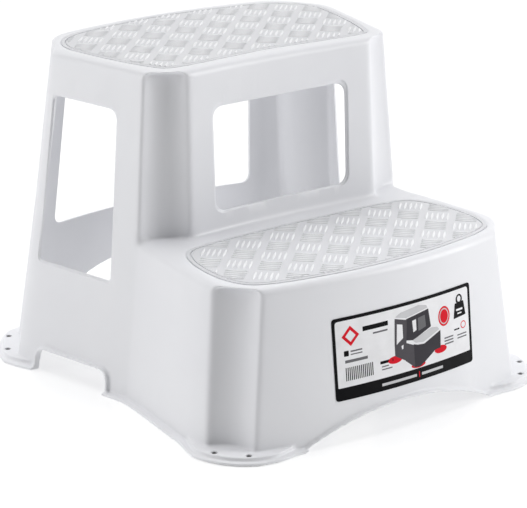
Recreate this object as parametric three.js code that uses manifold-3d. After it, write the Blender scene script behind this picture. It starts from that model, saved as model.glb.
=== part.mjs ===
// Two-step stool moulded in one piece: a tall block under the upper tread, a low block in front of it
// under the lower tread, windows through the walls, arches under them, and four flanged feet that hold
// clip-in rubber grip pads. Millimetres, +Z up, the steps face -Y, and the origin is on the floor at
// the centre of the footprint.

import * as THREE from 'three';
import { mergeVertices } from 'three/addons/utils/BufferGeometryUtils.js';
import Module from 'manifold-3d';

const wasm = await Module();
wasm.setup();

// Heights
const TOTAL_HEIGHT = 400;
const STEP_HEIGHT = 197;
const RIM_HEIGHT = 1;
const FLANGE_TOP = 4.5;
const FOOT_TOP = 9.5;

// Walls: thickness, and how far they lean out per millimetre of height
const WALL = 3.2;
const DRAFT = 0.115;
const UPPER_SIDE_DRAFT = 0.09;
const RISER_DRAFT = 0.045;
const EDGE_RADIUS = 10;

// Flange along the bottom edge, and the lip that frames each arch
const FLANGE_REACH = 9;
const ARCH_LIP_REACH = 4.5;
const ARCH_LIP_BAND = 3.5;

// Plan of the tall block at the height of the lower tread, right half
const REAR_Y = 250;
const REAR_BOW = 23.4;
const REAR_FLAT_END = 176;
const SIDE_X = 195.7;
const SIDE_Y = -22;
const SIDE_SLOPE = 0.22;
const REAR_CORNER_REACH = 84;
const REAR_CORNER_SPREAD = 0.1;
const RISER_Y = -50.5;
const RISER_BOW = 6;
const RISER_HALF_WIDTH = 140;
const RISER_NARROWING = 0.02;
const TALL_FLUTE_SHIFT = 0.035;

// Plan of the low block at the height of the lower tread, right half
const WAIST = { x: 197.4, y: -11, pullX: 190, pullY: -36 };
const HIP = { x: 209.5, y: -173, pullX: 204.5, pullY: -108 };
const HIDDEN_END = { x: 150, y: 40 };
const FRONT_Y = -258;
const FRONT_CORNER = { x: 174, y: -237.5, driftX: 0.118, driftY: 0.086 };
const LOW_FLUTE_START = { y: -190, drift: 0.08 };

// Scooped corners
const FLUTE_SAG = 9;
const FLUTE_END_BELOW_TOP = 9;
const FLUTE_FADE = 2;
const FULLNESS = { tallFront: 0.75, tallRear: 0.5, low: 0.6 };

// Windows and arches
const FRONT_WINDOW = { half: 101, bottom: 219, top: 352, radius: 16 };
const REAR_WINDOW = { halfBottom: 155, halfTop: 141, bottom: 142, top: 342, radius: 14 };
const SIDE_WINDOW = {
  frontBottom: 18, frontTop: 24, rearBottom: 140, rearTop: 131, bottom: 137, top: 348,
};
const SIDE_WINDOW_RADII = [6, 9, 9, 16];
const FRONT_ARCH = { half: 143, rise: 34 };
const REAR_ARCH = { half: 150, rise: 74 };
const SIDE_ARCH = { front: 5.5, rear: 130, top: 29, inset: 5, radius: 12 };

// Feet and grip pads: a foot is widest within its core and runs out at its zone
const FRONT_FOOT = { x: 215, y: -240, core: 34, zone: 84, reach: 18 };
const REAR_FOOT = { x: 240, y: 209, core: 30, zone: 84, reach: 20 };
const SHELF_INSET = 4.5;
const SHELF_HIDDEN = 2;
const PAD_ZONE = 52;
const PAD_MARGIN = 3;
const PAD_INNER = 1;
const PAD_THICKNESS = 3.7;
const PEG_RADIUS = 2.6;
const PEG_HOLE_RADIUS = 3.6;
const PEG_TOP = 8;
const FRONT_PEGS = [[232, -225], [206, -255]];
const REAR_PEGS = [[231, 229], [255, 191]];
const CLEARANCE = 0.3;

// Label on the front wall
const LABEL = { centre: 12, half: 105, bottom: 50, top: 147, thickness: 0.4, columns: 14, rows: 4 };

const CORNER_STEPS = 8;
const FLAT_STEPS = 8;
const OVERSHOOT = 40;
const CIRCLE_PULL = 0.55;
const REAR_SCOOP = { start: 0.22, end: 0.78 };
const EDGE_ROUNDING_STEP = 0.3;

// Depths between which the window and arch shapes cut, clear of the walls they leave whole
const CUT = {
  front: -320, behindFront: -150, riserFront: -90, riserRear: 0, aheadOfRear: 180, rear: 320, side: 300,
};

// Solids

function toSolid(geometry) {
  const bare = geometry.clone();
  bare.deleteAttribute('normal');
  bare.deleteAttribute('uv');
  const merged = mergeVertices(bare, 1e-4);
  return new wasm.Manifold(new wasm.Mesh({
    numProp: 3,
    vertProperties: new Float32Array(merged.attributes.position.array),
    triVerts: new Uint32Array(merged.index.array),
  }));
}

function toGeometry(solid) {
  const mesh = solid.getMesh();
  const geometry = new THREE.BufferGeometry();
  geometry.setAttribute('position', new THREE.BufferAttribute(new Float32Array(mesh.vertProperties), 3));
  geometry.setIndex(new THREE.BufferAttribute(new Uint32Array(mesh.triVerts), 1));
  geometry.computeVertexNormals();
  return geometry;
}

function unite(solids) {
  return solids.reduce((sum, solid) => sum.add(solid));
}

// Stacks closed outlines with equal point counts into a solid with flat ends.
function loft(rows) {
  const count = rows[0].points.length;
  const positions = [];
  const index = [];
  for (const row of rows) {
    row.points.forEach((point) => positions.push(point.x, point.y, row.z));
  }
  for (let level = 0; level + 1 < rows.length; level += 1) {
    for (let i = 0; i < count; i += 1) {
      const a = level * count + i;
      const b = level * count + (i + 1) % count;
      index.push(a, b, b + count, a, b + count, a + count);
    }
  }
  const last = (rows.length - 1) * count;
  for (const [a, b, c] of THREE.ShapeUtils.triangulateShape(rows[0].points, [])) {
    index.push(a, c, b);
  }
  for (const [a, b, c] of THREE.ShapeUtils.triangulateShape(rows[rows.length - 1].points, [])) {
    index.push(last + a, last + b, last + c);
  }
  const geometry = new THREE.BufferGeometry();
  geometry.setAttribute('position', new THREE.Float32BufferAttribute(positions, 3));
  geometry.setIndex(index);
  return toSolid(geometry);
}

// A shape drawn in X and Z, pushed along Y from one depth to another.
function prismAlongY(shape, fromY, toY) {
  const depth = toY - fromY;
  const geometry = new THREE.ExtrudeGeometry(shape, { depth, bevelEnabled: false, curveSegments: 10 });
  geometry.rotateX(Math.PI / 2);
  geometry.translate(0, toY, 0);
  return toSolid(geometry);
}

// A shape drawn in Y and Z, pushed along X through both side walls.
function prismAlongX(shape, halfLength) {
  const depth = 2 * halfLength;
  const geometry = new THREE.ExtrudeGeometry(shape, { depth, bevelEnabled: false, curveSegments: 10 });
  geometry.rotateX(Math.PI / 2);
  geometry.rotateZ(Math.PI / 2);
  geometry.translate(-halfLength, 0, 0);
  return toSolid(geometry);
}

function post(x, y, radius, bottom, top, segments) {
  const geometry = new THREE.CylinderGeometry(radius, radius, top - bottom, segments);
  geometry.rotateX(Math.PI / 2);
  geometry.translate(x, y, (top + bottom) / 2);
  return toSolid(geometry);
}

// Plan outlines

const at = (x, y) => new THREE.Vector2(x, y);

function samples(curve, steps) {
  return curve.getPoints(steps).slice(0, steps);
}

function roundedPolygon(corners, radii) {
  const shape = new THREE.Shape();
  corners.forEach((corner, i) => {
    const before = corners[(i + corners.length - 1) % corners.length];
    const after = corners[(i + 1) % corners.length];
    const start = corner.clone().add(before.clone().sub(corner).setLength(radii[i]));
    const end = corner.clone().add(after.clone().sub(corner).setLength(radii[i]));
    if (i === 0) {
      shape.moveTo(start.x, start.y);
    } else {
      shape.lineTo(start.x, start.y);
    }
    shape.quadraticCurveTo(corner.x, corner.y, end.x, end.y);
  });
  shape.closePath();
  return shape;
}

// Completes a right half that runs from the front centre to the rear centre.
function mirrored(half) {
  const left = half.slice(1, -1).reverse().map((point) => at(-point.x, point.y));
  return [...half, ...left];
}

// Moves an outline outward by a distance, or inward where it is negative. It may depend on the point.
function offsetOutline(points, distance) {
  const distanceAt = typeof distance === 'function' ? distance : () => distance;
  return points.map((point, i) => {
    const before = points[(i + points.length - 1) % points.length];
    const after = points[(i + 1) % points.length];
    const first = point.clone().sub(before).normalize();
    const second = after.clone().sub(point).normalize();
    const normal = at(first.y + second.y, -first.x - second.x).normalize();
    const miter = Math.max(0.5, normal.dot(at(first.y, -first.x)));
    return point.clone().add(normal.multiplyScalar(distanceAt(point) / miter));
  });
}

function wallShift(z) {
  return DRAFT * (STEP_HEIGHT - z);
}

// The side walls lean a little less above the lower tread.
function sideX(y, z) {
  const draft = z > STEP_HEIGHT ? UPPER_SIDE_DRAFT : DRAFT;
  return SIDE_X + SIDE_SLOPE * (y - SIDE_Y) + draft * (STEP_HEIGHT - z);
}

// The scoop between two corner points. Round goes from 0, hollow, to 1, a plain rounded corner.
function corner(from, to, peak, round, steps) {
  const chord = to.clone().sub(from);
  const middle = from.clone().add(to).multiplyScalar(0.5);
  const inward = at(-chord.y, chord.x).setLength(2 * FLUTE_SAG);
  const control = middle.add(inward).lerp(peak, round);
  return samples(new THREE.QuadraticBezierCurve(from, control, to), steps);
}

// Where a corner's curve is pulled to: from the middle of its chord, 0, to its peak, 1.
function fuller(from, to, peak, fullness) {
  return from.clone().add(to).multiplyScalar(0.5).lerp(peak, fullness);
}

// The tall block: riser, scooped front corner, side wall, scooped rear corner and rear wall.
function tallOutline(z, round) {
  const shift = wallShift(z);
  const riserY = RISER_Y + RISER_DRAFT * (z - STEP_HEIGHT);
  const fluteY = SIDE_Y + TALL_FLUTE_SHIFT * (z - STEP_HEIGHT);
  const riserMiddle = at(0, riserY + RISER_BOW);
  const riserHalf = RISER_HALF_WIDTH - RISER_NARROWING * (z - STEP_HEIGHT);
  const riserEnd = at(riserHalf, riserY);
  const sideStart = at(sideX(fluteY, z), fluteY);
  const frontPeak = fuller(riserEnd, sideStart, at(sideX(riserY, z), riserY), FULLNESS.tallFront);
  const rearSlope = 2 * REAR_BOW / REAR_FLAT_END;
  const rearEnd = at(REAR_FLAT_END, REAR_Y + shift - REAR_BOW);
  const peakY = (rearEnd.y - rearSlope * (sideX(0, z) - rearEnd.x)) / (1 + rearSlope * SIDE_SLOPE);
  const rearPeak = at(sideX(peakY, z), peakY);
  const reach = REAR_CORNER_REACH + REAR_CORNER_SPREAD * shift;
  const sideEnd = rearPeak.clone().add(sideStart.clone().sub(rearPeak).setLength(reach));
  const rearStart = rearPeak.clone().add(rearEnd.clone().sub(rearPeak).setLength(reach));
  const rearMiddle = at(0, REAR_Y + shift);
  const riserPull = at(riserHalf / 2, riserMiddle.y);
  const riser = new THREE.QuadraticBezierCurve(riserMiddle, riserPull, riserEnd);
  const rear = new THREE.QuadraticBezierCurve(rearStart, at(rearStart.x / 2, rearMiddle.y), rearMiddle);
  return mirrored([
    ...samples(riser, FLAT_STEPS),
    ...corner(riserEnd, sideStart, frontPeak, round, CORNER_STEPS),
    ...samples(new THREE.LineCurve(sideStart, sideEnd), FLAT_STEPS),
    ...rearCorner(sideEnd, rearStart, rearPeak, round),
    ...samples(rear, FLAT_STEPS),
    rearMiddle,
  ]);
}

// A broad rounded corner with the scoop in its middle half.
function rearCorner(from, to, peak, round) {
  const firstPull = from.clone().lerp(peak, CIRCLE_PULL);
  const secondPull = to.clone().lerp(peak, CIRCLE_PULL);
  const arc = new THREE.CubicBezierCurve(from, firstPull, secondPull, to);
  const start = arc.getPoint(REAR_SCOOP.start);
  const end = arc.getPoint(REAR_SCOOP.end);
  const top = arc.getPoint(0.5).multiplyScalar(2).sub(start.clone().add(end).multiplyScalar(0.5));
  const scoopPeak = fuller(start, end, top, FULLNESS.tallRear);
  return [
    ...samples(new THREE.LineCurve(from, start), 1),
    ...corner(start, end, scoopPeak, round, CORNER_STEPS),
    end,
  ];
}

// The low block. Its rear part lies inside the tall block.
function lowOutline(z, round) {
  const shift = wallShift(z);
  const below = STEP_HEIGHT - z;
  const front = frontWall(z);
  const frontMiddle = at(0, front.middleY);
  const fluteStart = at(front.halfWidth, front.endY);
  const fluteEnd = at(HIP.x + shift, LOW_FLUTE_START.y - LOW_FLUTE_START.drift * below);
  const slope = 2 * (front.endY - front.middleY) / front.halfWidth;
  const crossing = at(fluteEnd.x, front.endY + slope * (fluteEnd.x - front.halfWidth));
  const peak = fuller(fluteStart, fluteEnd, crossing, FULLNESS.low);
  const hip = at(HIP.x + shift, HIP.y);
  const waist = at(WAIST.x + shift, WAIST.y);
  const hipPull = at(HIP.pullX + shift, HIP.pullY);
  const waistPull = at(WAIST.pullX + shift, WAIST.pullY);
  const side = new THREE.CubicBezierCurve(hip, hipPull, waistPull, waist);
  const frontPull = at(front.halfWidth / 2, frontMiddle.y);
  const frontCurve = new THREE.QuadraticBezierCurve(frontMiddle, frontPull, fluteStart);
  return mirrored([
    ...samples(frontCurve, FLAT_STEPS + 2),
    ...corner(fluteStart, fluteEnd, peak, round, CORNER_STEPS),
    ...samples(new THREE.LineCurve(fluteEnd, hip), 1),
    ...samples(side, CORNER_STEPS),
    waist,
    at(HIDDEN_END.x, HIDDEN_END.y),
    at(0, HIDDEN_END.y),
  ]);
}

// The bowed front wall at one height.
function frontWall(z) {
  const below = STEP_HEIGHT - z;
  return {
    middleY: FRONT_Y - DRAFT * below,
    halfWidth: FRONT_CORNER.x + FRONT_CORNER.driftX * below,
    endY: FRONT_CORNER.y - FRONT_CORNER.driftY * below,
  };
}

function frontWallY(x, z) {
  const front = frontWall(z);
  return front.middleY + (x / front.halfWidth) ** 2 * (front.endY - front.middleY);
}

// One block from the rim to its tread, grown or shrunk by a distance, its top edge rounded over.
function block(outline, bottom, top, growth) {
  const radius = Math.max(EDGE_RADIUS + growth, 2);
  const crown = top + Math.min(growth, 0);
  const shoulder = crown - radius;
  const fluteEnd = top - FLUTE_END_BELOW_TOP;
  const fluteFaded = fluteEnd + FLUTE_FADE;
  const row = (z, round, inset, height = z) => ({
    z: height,
    points: offsetOutline(outline(z, round), growth - inset),
  });
  const levels = [bottom, STEP_HEIGHT, fluteEnd].filter((z, i, all) => z <= fluteEnd && all.indexOf(z) === i);
  return loft([
    ...levels.map((z) => row(z, 0, 0)),
    row(fluteFaded, 1, 0),
    row(Math.max(shoulder, fluteFaded + 0.5), 1, 0),
    row(crown - radius * EDGE_ROUNDING_STEP, 1, radius * EDGE_ROUNDING_STEP),
    row(crown, 1, radius),
  ]);
}

// A low slab of the plain rounded plan, used for the rim, the arch lips and the feet.
function skirt(bottom, top, growth) {
  const plain = (outline) => loft([bottom, top].map((z) => ({
    z,
    points: offsetOutline(outline(z, 1), growth),
  })));
  return plain(tallOutline).add(plain(lowOutline));
}

// Windows and arches

function frontArchShape(extra) {
  const half = FRONT_ARCH.half + extra;
  const rise = FRONT_ARCH.rise + extra;
  const radius = (half * half + rise * rise) / (2 * rise);
  const sweep = Math.asin(half / radius);
  const shape = new THREE.Shape();
  shape.moveTo(half, -OVERSHOOT);
  shape.lineTo(half, 0);
  shape.absarc(0, rise - radius, radius, Math.PI / 2 - sweep, Math.PI / 2 + sweep, false);
  shape.lineTo(-half, -OVERSHOOT);
  shape.closePath();
  return shape;
}

function rearArchShape(extra) {
  const shape = new THREE.Shape();
  shape.moveTo(REAR_ARCH.half + extra, -OVERSHOOT);
  shape.lineTo(REAR_ARCH.half + extra, 0);
  shape.absellipse(0, 0, REAR_ARCH.half + extra, REAR_ARCH.rise + extra, 0, Math.PI, false, 0);
  shape.lineTo(-REAR_ARCH.half - extra, -OVERSHOOT);
  shape.closePath();
  return shape;
}

function sideArchShape(extra) {
  const { front, rear, top, inset, radius } = SIDE_ARCH;
  const bottomCorner = 1;
  return roundedPolygon([
    at(front - extra, -OVERSHOOT),
    at(rear + extra, -OVERSHOOT),
    at(rear + extra - inset, top + extra),
    at(front - extra + inset, top + extra),
  ], [bottomCorner, bottomCorner, radius + extra, radius + extra]);
}

function archPrisms(extra) {
  return unite([
    prismAlongY(frontArchShape(extra), CUT.front, CUT.behindFront),
    prismAlongY(rearArchShape(extra), CUT.aheadOfRear, CUT.rear),
    prismAlongX(sideArchShape(extra), CUT.side),
  ]);
}

function windowPrisms() {
  const front = FRONT_WINDOW;
  const rear = REAR_WINDOW;
  const side = SIDE_WINDOW;
  const frontShape = roundedPolygon([
    at(-front.half, front.bottom), at(front.half, front.bottom),
    at(front.half, front.top), at(-front.half, front.top),
  ], Array(4).fill(front.radius));
  const rearShape = roundedPolygon([
    at(-rear.halfBottom, rear.bottom), at(rear.halfBottom, rear.bottom),
    at(rear.halfTop, rear.top), at(-rear.halfTop, rear.top),
  ], Array(4).fill(rear.radius));
  const sideShape = roundedPolygon([
    at(side.frontBottom, side.bottom), at(side.rearBottom, side.bottom),
    at(side.rearTop, side.top), at(side.frontTop, side.top),
  ], SIDE_WINDOW_RADII);
  return unite([
    prismAlongY(frontShape, CUT.riserFront, CUT.riserRear),
    prismAlongY(rearShape, CUT.aheadOfRear, CUT.rear),
    prismAlongX(sideShape, CUT.side),
  ]);
}

// Feet and pads

// How much of a foot there is at a point: 1 in its core, 0 outside its zone.
function footShare(foot, point) {
  const distance = Math.hypot(Math.abs(point.x) - foot.x, point.y - foot.y);
  return 1 - THREE.MathUtils.smoothstep(distance, foot.core, foot.zone);
}

// How far the bottom flange stands out beyond the wall.
function flangeReach(point) {
  const extra = [FRONT_FOOT, REAR_FOOT].map((foot) => (foot.reach - FLANGE_REACH) * footShare(foot, point));
  return FLANGE_REACH + extra[0] + extra[1];
}

// The raised shelf of a foot. Between the feet it dips inside the wall.
function shelfReach(point) {
  const rise = (foot) => (foot.reach - SHELF_INSET + SHELF_HIDDEN) * footShare(foot, point);
  return rise(FRONT_FOOT) + rise(REAR_FOOT) - SHELF_HIDDEN;
}

function padBody(foot, side, gap, top) {
  const zone = post(side * foot.x, foot.y, PAD_ZONE + gap, 0, top, 32);
  const outer = skirt(0, top, (point) => flangeReach(point) - PAD_MARGIN + gap);
  const inner = skirt(0, top, PAD_INNER - gap);
  return outer.intersect(zone).subtract(inner);
}

function pegs(spots, side, radius, bottom, top) {
  return unite(spots.map(([x, y]) => post(side * x, y, radius, bottom, top, 12)));
}

function gripPad(foot, spots, side) {
  const peg = pegs(spots, side, PEG_RADIUS, PAD_THICKNESS - 1, PEG_TOP);
  return padBody(foot, side, 0, PAD_THICKNESS).add(peg);
}

function mouldedShell() {
  const outside = unite([
    block(tallOutline, RIM_HEIGHT, TOTAL_HEIGHT, 0),
    block(lowOutline, RIM_HEIGHT, STEP_HEIGHT, 0),
  ]);
  const inside = unite([
    block(tallOutline, -RIM_HEIGHT, TOTAL_HEIGHT, -WALL),
    block(lowOutline, -RIM_HEIGHT, STEP_HEIGHT, -WALL),
  ]);
  const archLips = skirt(RIM_HEIGHT, REAR_ARCH.rise + 2 * ARCH_LIP_BAND, ARCH_LIP_REACH)
    .intersect(archPrisms(ARCH_LIP_BAND));
  const flange = skirt(RIM_HEIGHT, FLANGE_TOP, flangeReach);
  const shelves = skirt(RIM_HEIGHT, FOOT_TOP, shelfReach);
  const pockets = [];
  for (const side of [-1, 1]) {
    for (const [foot, spots] of [[FRONT_FOOT, FRONT_PEGS], [REAR_FOOT, REAR_PEGS]]) {
      pockets.push(padBody(foot, side, CLEARANCE, PAD_THICKNESS + CLEARANCE));
      pockets.push(pegs(spots, side, PEG_HOLE_RADIUS, 0, FOOT_TOP + 1));
    }
  }
  const walls = unite([outside, archLips, flange, shelves]).subtract(inside).subtract(archPrisms(0));
  return walls.subtract(windowPrisms()).subtract(unite(pockets));
}

// Label: a thin sheet that follows the bowed front wall.
function labelGeometry() {
  const columns = LABEL.columns;
  const across = (i) => LABEL.centre + LABEL.half * (2 * i / columns - 1);
  const outline = (z) => {
    const back = [];
    const face = [];
    for (let i = 0; i <= columns; i += 1) {
      const x = across(i);
      const y = frontWallY(x, z) - CLEARANCE;
      back.unshift(at(x, y));
      face.push(at(x, y - LABEL.thickness));
    }
    return [...face, ...back];
  };
  const rows = [];
  for (let j = 0; j <= LABEL.rows; j += 1) {
    const z = LABEL.bottom + (LABEL.top - LABEL.bottom) * j / LABEL.rows;
    rows.push({ z, points: outline(z) });
  }
  return toGeometry(loft(rows));
}

function piece(name, geometry, color, roughness) {
  const material = new THREE.MeshStandardMaterial({ color, roughness, metalness: 0 });
  const mesh = new THREE.Mesh(geometry, material);
  mesh.name = name;
  return mesh;
}

const stool = new THREE.Group();
stool.add(piece('moulded_shell', toGeometry(mouldedShell()), 0xe3e4ea, 0.35));
stool.add(piece('front_label', labelGeometry(), 0xf4f4f4, 0.5));
for (const [sideName, side] of [['left', -1], ['right', 1]]) {
  for (const [endName, foot, spots] of [['front', FRONT_FOOT, FRONT_PEGS], ['rear', REAR_FOOT, REAR_PEGS]]) {
    const pad = toGeometry(gripPad(foot, spots, side));
    stool.add(piece(`${endName}_${sideName}_grip_pad`, pad, 0x2b2c2f, 0.85));
  }
}

// Puts the origin at the centre of the footprint.
const bounds = new THREE.Box3().setFromObject(stool);
stool.position.y = -(bounds.min.y + bounds.max.y) / 2;

export default stool;
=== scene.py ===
"""Looks of the moulded step stool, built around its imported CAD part.

Lengths below are millimetres in the plan frame of the moulding, where the riser is near y = -50.
They are moved to the part's own frame, in metres, just before each mesh is made.
"""

import itertools
import math

import bmesh
import bpy
import numpy as np
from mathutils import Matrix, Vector


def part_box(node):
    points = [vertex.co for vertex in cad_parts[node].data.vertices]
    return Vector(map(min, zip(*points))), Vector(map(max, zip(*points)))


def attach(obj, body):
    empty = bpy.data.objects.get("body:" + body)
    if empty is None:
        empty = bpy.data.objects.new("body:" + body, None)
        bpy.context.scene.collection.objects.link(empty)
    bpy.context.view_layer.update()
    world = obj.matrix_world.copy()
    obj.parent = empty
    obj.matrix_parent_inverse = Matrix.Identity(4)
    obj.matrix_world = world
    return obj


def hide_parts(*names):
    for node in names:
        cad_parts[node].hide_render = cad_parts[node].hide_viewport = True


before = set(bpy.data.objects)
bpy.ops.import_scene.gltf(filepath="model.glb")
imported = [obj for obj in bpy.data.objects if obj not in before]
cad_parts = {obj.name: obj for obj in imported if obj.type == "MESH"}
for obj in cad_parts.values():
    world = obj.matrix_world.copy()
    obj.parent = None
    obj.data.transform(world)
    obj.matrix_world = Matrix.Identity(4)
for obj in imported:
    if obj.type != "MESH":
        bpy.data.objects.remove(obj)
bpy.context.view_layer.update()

MM = 0.001

# Heights
TOP = 400.0
STEP = 197.0
RIM = 1.0
FLANGE_TOP = 4.5
FOOT_TOP = 9.5
TREAD_DROP = 1.2

# Walls
WALL = 3.2
DRAFT = 0.115
UPPER_SIDE_DRAFT = 0.09
RISER_DRAFT = 0.045
EDGE_RADIUS = 10.0
TREAD_THICKNESS = 7.0

# Tall block at the height of the lower tread
REAR_Y = 250.0
REAR_BOW = 23.4
REAR_FLAT_END = 176.0
SIDE_X = 195.7
SIDE_Y = -22.0
SIDE_SLOPE = 0.22
REAR_REACH = 84.0
REAR_SPREAD = 0.1
REAR_SCOOP = (0.22, 0.78)
RISER_Y = -50.5
RISER_BOW = 6.0
RISER_HALF = 140.0
RISER_NARROWING = 0.02
TALL_FLUTE_DRIFT = 0.035
FRONT_FULLNESS = 0.75
REAR_FULLNESS = 0.5
LOW_FULLNESS = 0.6

# Low block at the height of the lower tread
WAIST = (197.4, -11.0)
WAIST_PULL = (190.0, -36.0)
HIP = (209.5, -173.0)
HIP_PULL = (204.5, -108.0)
FRONT_Y = -258.0
FRONT_END = (174.0, -237.5)
FRONT_DRIFT = (0.118, 0.086)
LOW_FLUTE_Y = -190.0
LOW_FLUTE_DRIFT = 0.08
INNER_END = (150.0, 40.0)

# Scooped corners
FLUTE_SAG = 10.0
FLUTE_BELOW_TOP = 6.0
FLUTE_FADE = 3.0
FLUTE_CORNER = 10.0
FLUTE_WIDTH = 46.0
REAR_CORNER_PULL = 0.55

# Openings, and how much smaller each window is at the inner face of its wall
FRONT_WINDOW = ((-101, 219), (101, 219), (101, 352), (-101, 352))
FRONT_WINDOW_INNER = ((-98.5, 220.5), (98.5, 220.5), (98.5, 347.5), (-98.5, 347.5))
FRONT_RADIUS = 16
WINDOW_ROUNDING = 1.3
REAR_WINDOW = ((-155, 142), (155, 142), (141, 342), (-141, 342))
REAR_WINDOW_RADIUS = 14
REAR_WINDOW_START = 180.0
SIDE_WINDOW = ((18, 137), (140, 137), (131, 348), (24, 348))
SIDE_WINDOW_INNER = ((19.5, 138.5), (138.5, 138.5), (129.5, 345), (25.5, 345))
SIDE_WINDOW_RADII = (6, 9, 9, 16)
ARCH_BOTTOM = -40.0
FRONT_ARCH = (143.0, 34.0)
FRONT_ARCH_END = -150.0
REAR_ARCH = (150.0, 74.0)
REAR_ARCH_START = 190.0
SIDE_ARCH = ((5.5, ARCH_BOTTOM), (130, ARCH_BOTTOM), (125, 29), (10.5, 29))
SIDE_ARCH_RADIUS = 12.0
ARCH_LIP_REACH = 4.5
ARCH_LIP_BAND = 3.5

# How far cutters reach past what they cut
BEYOND = 330.0
CUT_MARGIN = 25.0
CLEARANCE = 5.0
HOLLOW_BOTTOM = -3.0

# Flange and feet: where each foot is, its core and zone, its reach, and its peg holes
FLANGE_REACH = 9.0
FRONT_FOOT = ((215.0, -240.0), 34.0, 84.0, 18.0, ((232, -225), (206, -255)))
REAR_FOOT = ((240.0, 209.0), 30.0, 84.0, 19.5, ((231, 229), (255, 191)))
FEET = (FRONT_FOOT, REAR_FOOT)
SHELF_INSET = 4.5
SHELF_HIDDEN = 2.0
PEG_HOLE = 3.6

# Border line of each tread, right half, from front centre to rear centre
UPPER_BORDER = (
    (0, -13), (57, -17), (113, -21), (136, -21), (152, -17), (162, 1), (173, 33), (183, 74),
    (190, 112), (191, 135), (184, 159), (170, 177), (150, 190), (110, 201), (0, 213),
)
LOWER_BORDER = (
    (0, -249), (60, -247), (105, -241), (142, -234), (169, -224), (182, -212), (190, -192), (193, -165),
    (190, -131), (183, -105), (173, -87), (158, -76), (119, -70), (60, -68), (0, -67),
)
BORDER_BAND = 5.5
GROOVE = 1.5
GROOVE_DEPTH = 1.5
PANEL_DEPTH = 2.2
RECESS_DEPTH = 2.5
FIELD_BEVEL = 0.4
PLATE_ROOT = 0.5

# Five-bar pattern
BAR_PITCH_X = 49.6
BAR_PITCH_Y = 50.6
BARS = 5
BAR_STEP = 6.4
BAR_LENGTH = 27.0
BAR_WIDTH = 3.5
BAR_MARGIN = 3.0
BAR_ROOT = 0.3
BAR_TOP_GAP = 0.1
BAR_GROUPS = range(-6, 7)
UPPER_ANCHOR = (2.0, 99.0)
LOWER_ANCHOR = (2.5, -105.5)

# Label on the front wall
LABEL_CENTRE = 12.0
LABEL_WIDTH = 210.0
LABEL_HEIGHT = 97.0
LABEL_BOTTOM = 50.0
LABEL_GAP = 0.3
LABEL_THICKNESS = 0.4
LABEL_RADIUS = 4.5
LABEL_FOLD = 6.0
BACKING_THICKNESS = 0.16
PRINT_ROOT = 0.1
PRINT_LAYER = 0.04

# Soft creases: the foot of the riser, and where the side walls of the two blocks meet
RISER_FOOT_Y = -52.0
RISER_FOOT_DEPTH = 20.0
RISER_FOOT_HEIGHT = 16.0
RISER_FOOT_HALF = 200.0
MEETING = (198.0, -14.0)
MEETING_REACH = (34.0, 22.0)
MEETING_BOTTOM = 14.0
MEETING_FADE = (10.0, 12.0)
SOFTNESS = 1.6

# Fineness of the meshes
VOXEL = 1.25
SHELL_FACES = 190000
SHARP_ANGLE = 35.0
SHORT_WALL_POINTS = 40
LONG_WALL_POINTS = 60
SCOOP_POINTS = 36
REAR_CORNER_POINTS = 100
ARCH_POINTS = 60
BORDER_POINTS = 240
WALL_LEVELS = 40
TOP_LEVELS = 16
EDGE_LEVELS = 9

# Camera, in metres and degrees
CAMERA_AZIMUTH = -36.601
CAMERA_ELEVATION = 19.005
CAMERA_DISTANCE = 2.67492
CAMERA_TARGET = Vector((-0.07485, -0.09977, 0.18))
CAMERA_LENS = 154.94

# Which columns of (across, up, depth) make x, y and z, for a shape that is pushed along each axis
AXES = {"X": (2, 0, 1), "Y": (0, 2, 1), "Z": (0, 1, 2)}


# Curves in plan, as arrays of points

def bezier(points, count, last=False):
    """Points along a Bezier curve, without its end unless last is set."""
    t = np.linspace(0, 1, count + 1)[:, None]
    if not last:
        t = t[:-1]
    level = [np.asarray(p, float) * np.ones_like(t) for p in points]
    while len(level) > 1:
        level = [a * (1 - t) + b * t for a, b in zip(level, level[1:])]
    return level[0]


def mirrored(half):
    left = half[1:-1][::-1] * (-1, 1)
    return np.vstack([half, left])


def offset(points, distance):
    """Moves a closed outline outward, or inward where distance is negative."""
    before = points - np.roll(points, 1, 0)
    after = np.roll(points, -1, 0) - points
    before /= np.linalg.norm(before, axis=1)[:, None]
    after /= np.linalg.norm(after, axis=1)[:, None]
    normal = np.stack([before[:, 1] + after[:, 1], -before[:, 0] - after[:, 0]], 1)
    normal /= np.linalg.norm(normal, axis=1)[:, None]
    miter = np.maximum(0.5, normal[:, 0] * before[:, 1] - normal[:, 1] * before[:, 0])
    return points + normal * (np.broadcast_to(distance, miter.shape) / miter)[:, None]


def spline(points, count, steps=12):
    """A closed smooth curve through points, with even spacing."""
    points = np.asarray(points, float)
    a, b, c, d = (np.roll(points, shift, 0)[:, None, :] for shift in (1, 0, -1, -2))
    t = np.linspace(0, 1, steps, endpoint=False)[None, :, None]
    second = 2 * a - 5 * b + 4 * c - d
    third = 3 * b - a - 3 * c + d
    curve = 0.5 * (2 * b + (c - a) * t + second * t ** 2 + third * t ** 3)
    return resampled(curve.reshape(-1, 2), count)


def resampled(points, count):
    closed = np.vstack([points, points[:1]])
    length = np.concatenate([[0], np.cumsum(np.linalg.norm(np.diff(closed, axis=0), axis=1))])
    where = np.linspace(0, length[-1], count, endpoint=False)
    return np.stack([np.interp(where, length, closed[:, k]) for k in (0, 1)], 1)


def smoothed(share):
    """A share from 0 to 1 that starts and ends gently."""
    return share * share * (3 - 2 * share)


def eased(points, passes):
    """Rounds the creases of a closed outline."""
    for _ in range(passes):
        points = points * 0.5 + (np.roll(points, 1, 0) + np.roll(points, -1, 0)) * 0.25
    return points


# Plan outlines of the two blocks

def wall_shift(z):
    return DRAFT * (STEP - z)


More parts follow.
